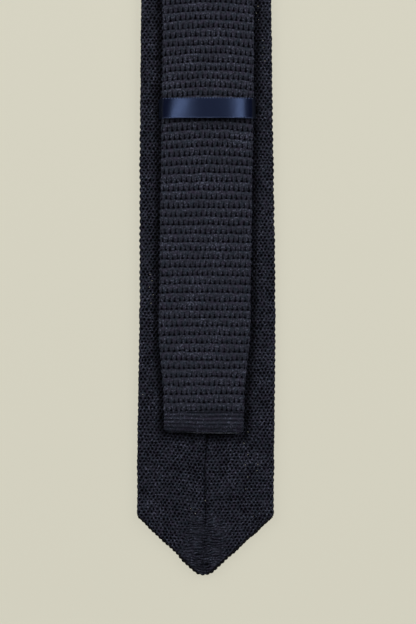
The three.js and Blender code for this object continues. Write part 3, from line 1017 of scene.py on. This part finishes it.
# the keeper loop, a ring of satin ribbon
keeper = {
    "columns": 32,
    "rows": 400,
    "half": 0.0210,
    "top": 0.0091,
    "shift": (0.0007, -0.0005),     # to the right with the tail, and down
    "shoulder": 0.0183,             # where it turns down over the tail's edges
    "steep": 1.25,                  # height of that turn to its reach
    "slope": 0.111,                 # of the ribbon where it gleams
    "gleamLeft": (0.0128, 1.0),     # distance from the middle, and how fast the slope grows
    "gleamRight": (0.01405, 2.2),
    "drop": 7000,                   # how fast it falls away beyond the gleams
    "footRadius": 0.0004,           # of its lower corners
    "wall": 0.0003,
    "selvedge": 0.00010,
    "swell": 0.00012,               # rise of the ribbon's middle line
    "twist": 0.00028,
    "picot": 0.0012,                # from one tiny edge loop to the next
    "picotReach": 0.00008,
    "length": 0.098,                # of the ribbon, with a short lap
}


def keeperTop(x):
    place = np.where(x < 0, keeper["gleamLeft"][0], keeper["gleamRight"][0])
    growth = np.where(x < 0, keeper["gleamLeft"][1], keeper["gleamRight"][1])
    fall = keeper["slope"] * np.abs(x) ** (growth + 1) / (growth + 1) / place**growth
    return keeper["top"] - fall - keeper["drop"] * np.clip(np.abs(x) - place - 0.0008, 0, None) ** 3 / 3


def keeperRing(count):
    # the ribbon's middle line, from the middle of its lower run round to the right
    half, shoulder, low = keeper["half"], keeper["shoulder"], lowOf("keeper_loop", 2)
    turn = np.linspace(0, np.pi / 2, 12)
    footRadius = keeper["footRadius"]
    parts = [np.stack([np.linspace(0, half - footRadius, 20), np.full(20, low)], 1)]
    parts.append(np.stack([
        half - footRadius + footRadius * np.sin(turn), low + footRadius * (1 - np.cos(turn))], 1))
    step = 0.00001
    for side in (1, -1):
        # the turn at the shoulder starts at the slope of the upper run there
        edge, beyond = keeperTop(side * np.array([shoulder, shoulder + step]))
        start = math.atan((edge - beyond) / step / keeper["steep"])
        angle = np.linspace(np.pi / 2, start, 16)
        reach = (half - shoulder) / (1 - math.sin(start))
        arch = np.stack([
            side * (shoulder + reach * (np.sin(angle) - math.sin(start))),
            edge - keeper["steep"] * reach * (math.cos(start) - np.cos(angle)),
        ], 1)
        if side > 0:
            parts.append(arch)
            x = np.linspace(shoulder, -shoulder, 120)[1:-1]
            parts.append(np.stack([x, keeperTop(x)], 1))
        else:
            parts.append(arch[::-1])
    parts.append(parts[1][::-1] * [-1, 1])
    parts.append(parts[0][::-1] * [-1, 1])
    line = np.concatenate(parts)
    place = np.concatenate([[0], np.cumsum(np.hypot(*np.diff(line, axis=0).T))])
    keep = np.concatenate([[True], np.diff(place) > 0])
    even = np.linspace(0, place[-1], count)
    return np.stack([np.interp(even, place[keep], line[keep][:, i]) for i in (0, 1)], 1)


def makeKeeper():
    low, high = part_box("keeper_loop")
    width = high[1] - low[1]
    middleY = (low[1] + high[1]) / 2 + keeper["shift"][1]
    rows = keeper["rows"]
    mesh, shareX, shareY = newCloth("keeperLoop", keeper["columns"], rows)
    line = keeperRing(rows + 1)
    heading = np.gradient(line, axis=0)
    heading = heading / np.linalg.norm(heading, axis=1)[:, None]
    row = np.rint(shareY * rows).astype(int)
    x, z = line[row].T
    normalX, normalZ = heading[row, 1], -heading[row, 0]
    across = (shareX - 0.5) * width
    upper = z > keeperTop(x) - 0.0005
    # a slight twist leans the left gleam over
    twist = keeper["twist"] * np.clip((-x - 0.006) / 0.013, 0, 1) ** 2 * (-across) / (width / 2)
    toEdge = width / 2 - np.abs(across)
    lip = keeper["selvedge"] * np.exp(-((toEdge / 0.0003) ** 2))
    loop = 0.5 + 0.5 * np.cos(2 * np.pi * x / keeper["picot"] + 1.5 * softNoise(x / 0.003, x * 0, 61))
    onEdge = np.exp(-((toEdge / 0.00028) ** 2))
    picot = keeper["picotReach"] * onEdge * loop
    # painted highlight on the edges: dots on the loops of one edge, a fainter even line along the other
    paintedEdgeHighlight = np.where(across < 0, loop**2, 0.45) * onEdge
    paintedEdgeHighlight = paintedEdgeHighlight * (0.7 + 0.5 * softNoise(x / 0.002, across * 0, 62))
    swell = keeper["swell"] * (1 - (2 * across / width) ** 2)
    out = (lip + picot + swell) * upper
    places = np.stack([
        x + keeper["shift"][0] + out * normalX,
        middleY - across,
        z - twist * upper + out * normalZ,
    ], 1)
    piece = finishCloth(
        mesh, places, np.clip(paintedEdgeHighlight * upper, 0, 1), "ribbon", shareY, shareX * 0.1, shareX, shareY,
        navySatin)
    # where the ribbon turns down: painted shade in its colour, and a rougher surface
    bentAndShaded = piece.data.attributes.new("bentAndShaded", "FLOAT", "POINT")
    bentAndShaded.data.foreach_set("value", (1 - ease((normalZ - 0.55) / 0.4)).astype(np.float32))
    closePoles(piece.data, turnOut=True)
    wall = piece.modifiers.new("wall", "SOLIDIFY")
    wall.thickness = keeper["wall"]
    wall.offset = -1
    follow(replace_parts(piece, "keeper_loop"), "blade")


makeKeeper()

# the two tacks that hold the keeper loop to the blade
tack = {
    "radius": 0.00022,
    "loops": 3,
    "inset": 0.0004,        # towards the middle of the tie
    "reach": 0.0006,        # of the loops, to each side
    "rise": 0.0004,
    "turns": 30,
    "wrap": 0.2,
    "points": 60,
}


def makeTacks():
    share = np.linspace(0, 1, tack["points"])
    phase = 2 * np.pi * tack["loops"] * share
    for side, word in ((-1, "Left"), (1, "Right")):
        node = "keeper_tack_" + word.lower()
        low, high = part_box(node)
        middleX = (low[0] + high[0]) / 2 + keeper["shift"][0]
        line = np.stack([
            middleX + side * (tack["reach"] * np.cos(phase) - tack["inset"]),
            low[1] + (high[1] - low[1]) * share,
            low[2] + tack["rise"] * (1 + np.sin(phase)),
        ], 1)
        piece = sewnThread(
            "keeperTack" + word, line, tack["radius"], tack["turns"], darkThread, tack["wrap"])
        follow(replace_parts(piece, node), "blade")


makeTacks()
print("keeper loop made")


# the floor and the lamps
studio = {
    "floor": (0.692, 0.671, 0.555),
    "floorReach": 18,        # from the middle to each side
    "floorGlow": 0.82,       # share of the floor's tone that no shadow reaches
    "ambient": 0.10,
    # lamps on each side: distance out, along and up, width, length, watts
    "gleam": (0.26, 0.25, 1.0, 0.11, 1.2, 4.8),
    "softbox": (0.95, 0.65, 0.70, 0.8, 1.6, 18.0),
    "overhead": (1.3, 1.4, 3.0),        # height, size, watts
}


def newLamp(name, place, width, length, power):
    light = bpy.data.lights.new(name, "AREA")
    light.shape = "RECTANGLE"
    light.size, light.size_y = width, length
    light.energy = power
    lamp = bpy.data.objects.new(name, light)
    lamp.location = place
    bpy.context.scene.collection.objects.link(lamp)
    return lamp


def makeStudio():
    work = bmesh.new()
    bmesh.ops.create_grid(work, x_segments=1, y_segments=1, size=studio["floorReach"])
    mesh = bpy.data.meshes.new("floor")
    work.to_mesh(mesh)
    work.free()
    floor = bpy.data.objects.new("floor", mesh)
    floor.location = (0, 0, -0.0001)
    material, _, _, surface = newMaterial("paleFloor")
    glow = studio["floorGlow"]
    surface.inputs["Base Color"].default_value = (*[(1 - glow) * c for c in studio["floor"]], 1)
    surface.inputs["Emission Color"].default_value = (*studio["floor"], 1)
    surface.inputs["Emission Strength"].default_value = glow
    surface.inputs["Roughness"].default_value = 0.95
    surface.inputs["Specular IOR Level"].default_value = 0.0
    mesh.materials.append(material)
    bpy.context.scene.collection.objects.link(floor)
    world = bpy.data.worlds.new("studio")
    world.use_nodes = True
    background = world.node_tree.nodes["Background"]
    background.inputs["Color"].default_value = (1, 1, 1, 1)
    background.inputs["Strength"].default_value = studio["ambient"]
    bpy.context.scene.world = world
    for kind in ("gleam", "softbox"):
        x, y, z, width, length, power = studio[kind]
        for side, word in ((-1, "Left"), (1, "Right")):
            lamp = newLamp(kind + word, (side * x, y, z), width, length, power)
            lamp.rotation_euler = (0, side * math.atan2(x, z), 0)
            lamp.visible_glossy = kind == "gleam"       # a long lamp is mirrored, a wide one only lights
            lamp.visible_diffuse = kind == "softbox"
    height, size, power = studio["overhead"]
    lamp = newLamp("overhead", (0, 0, height), size, size, power)
    lamp.visible_diffuse = False


makeStudio()
print("studio set")
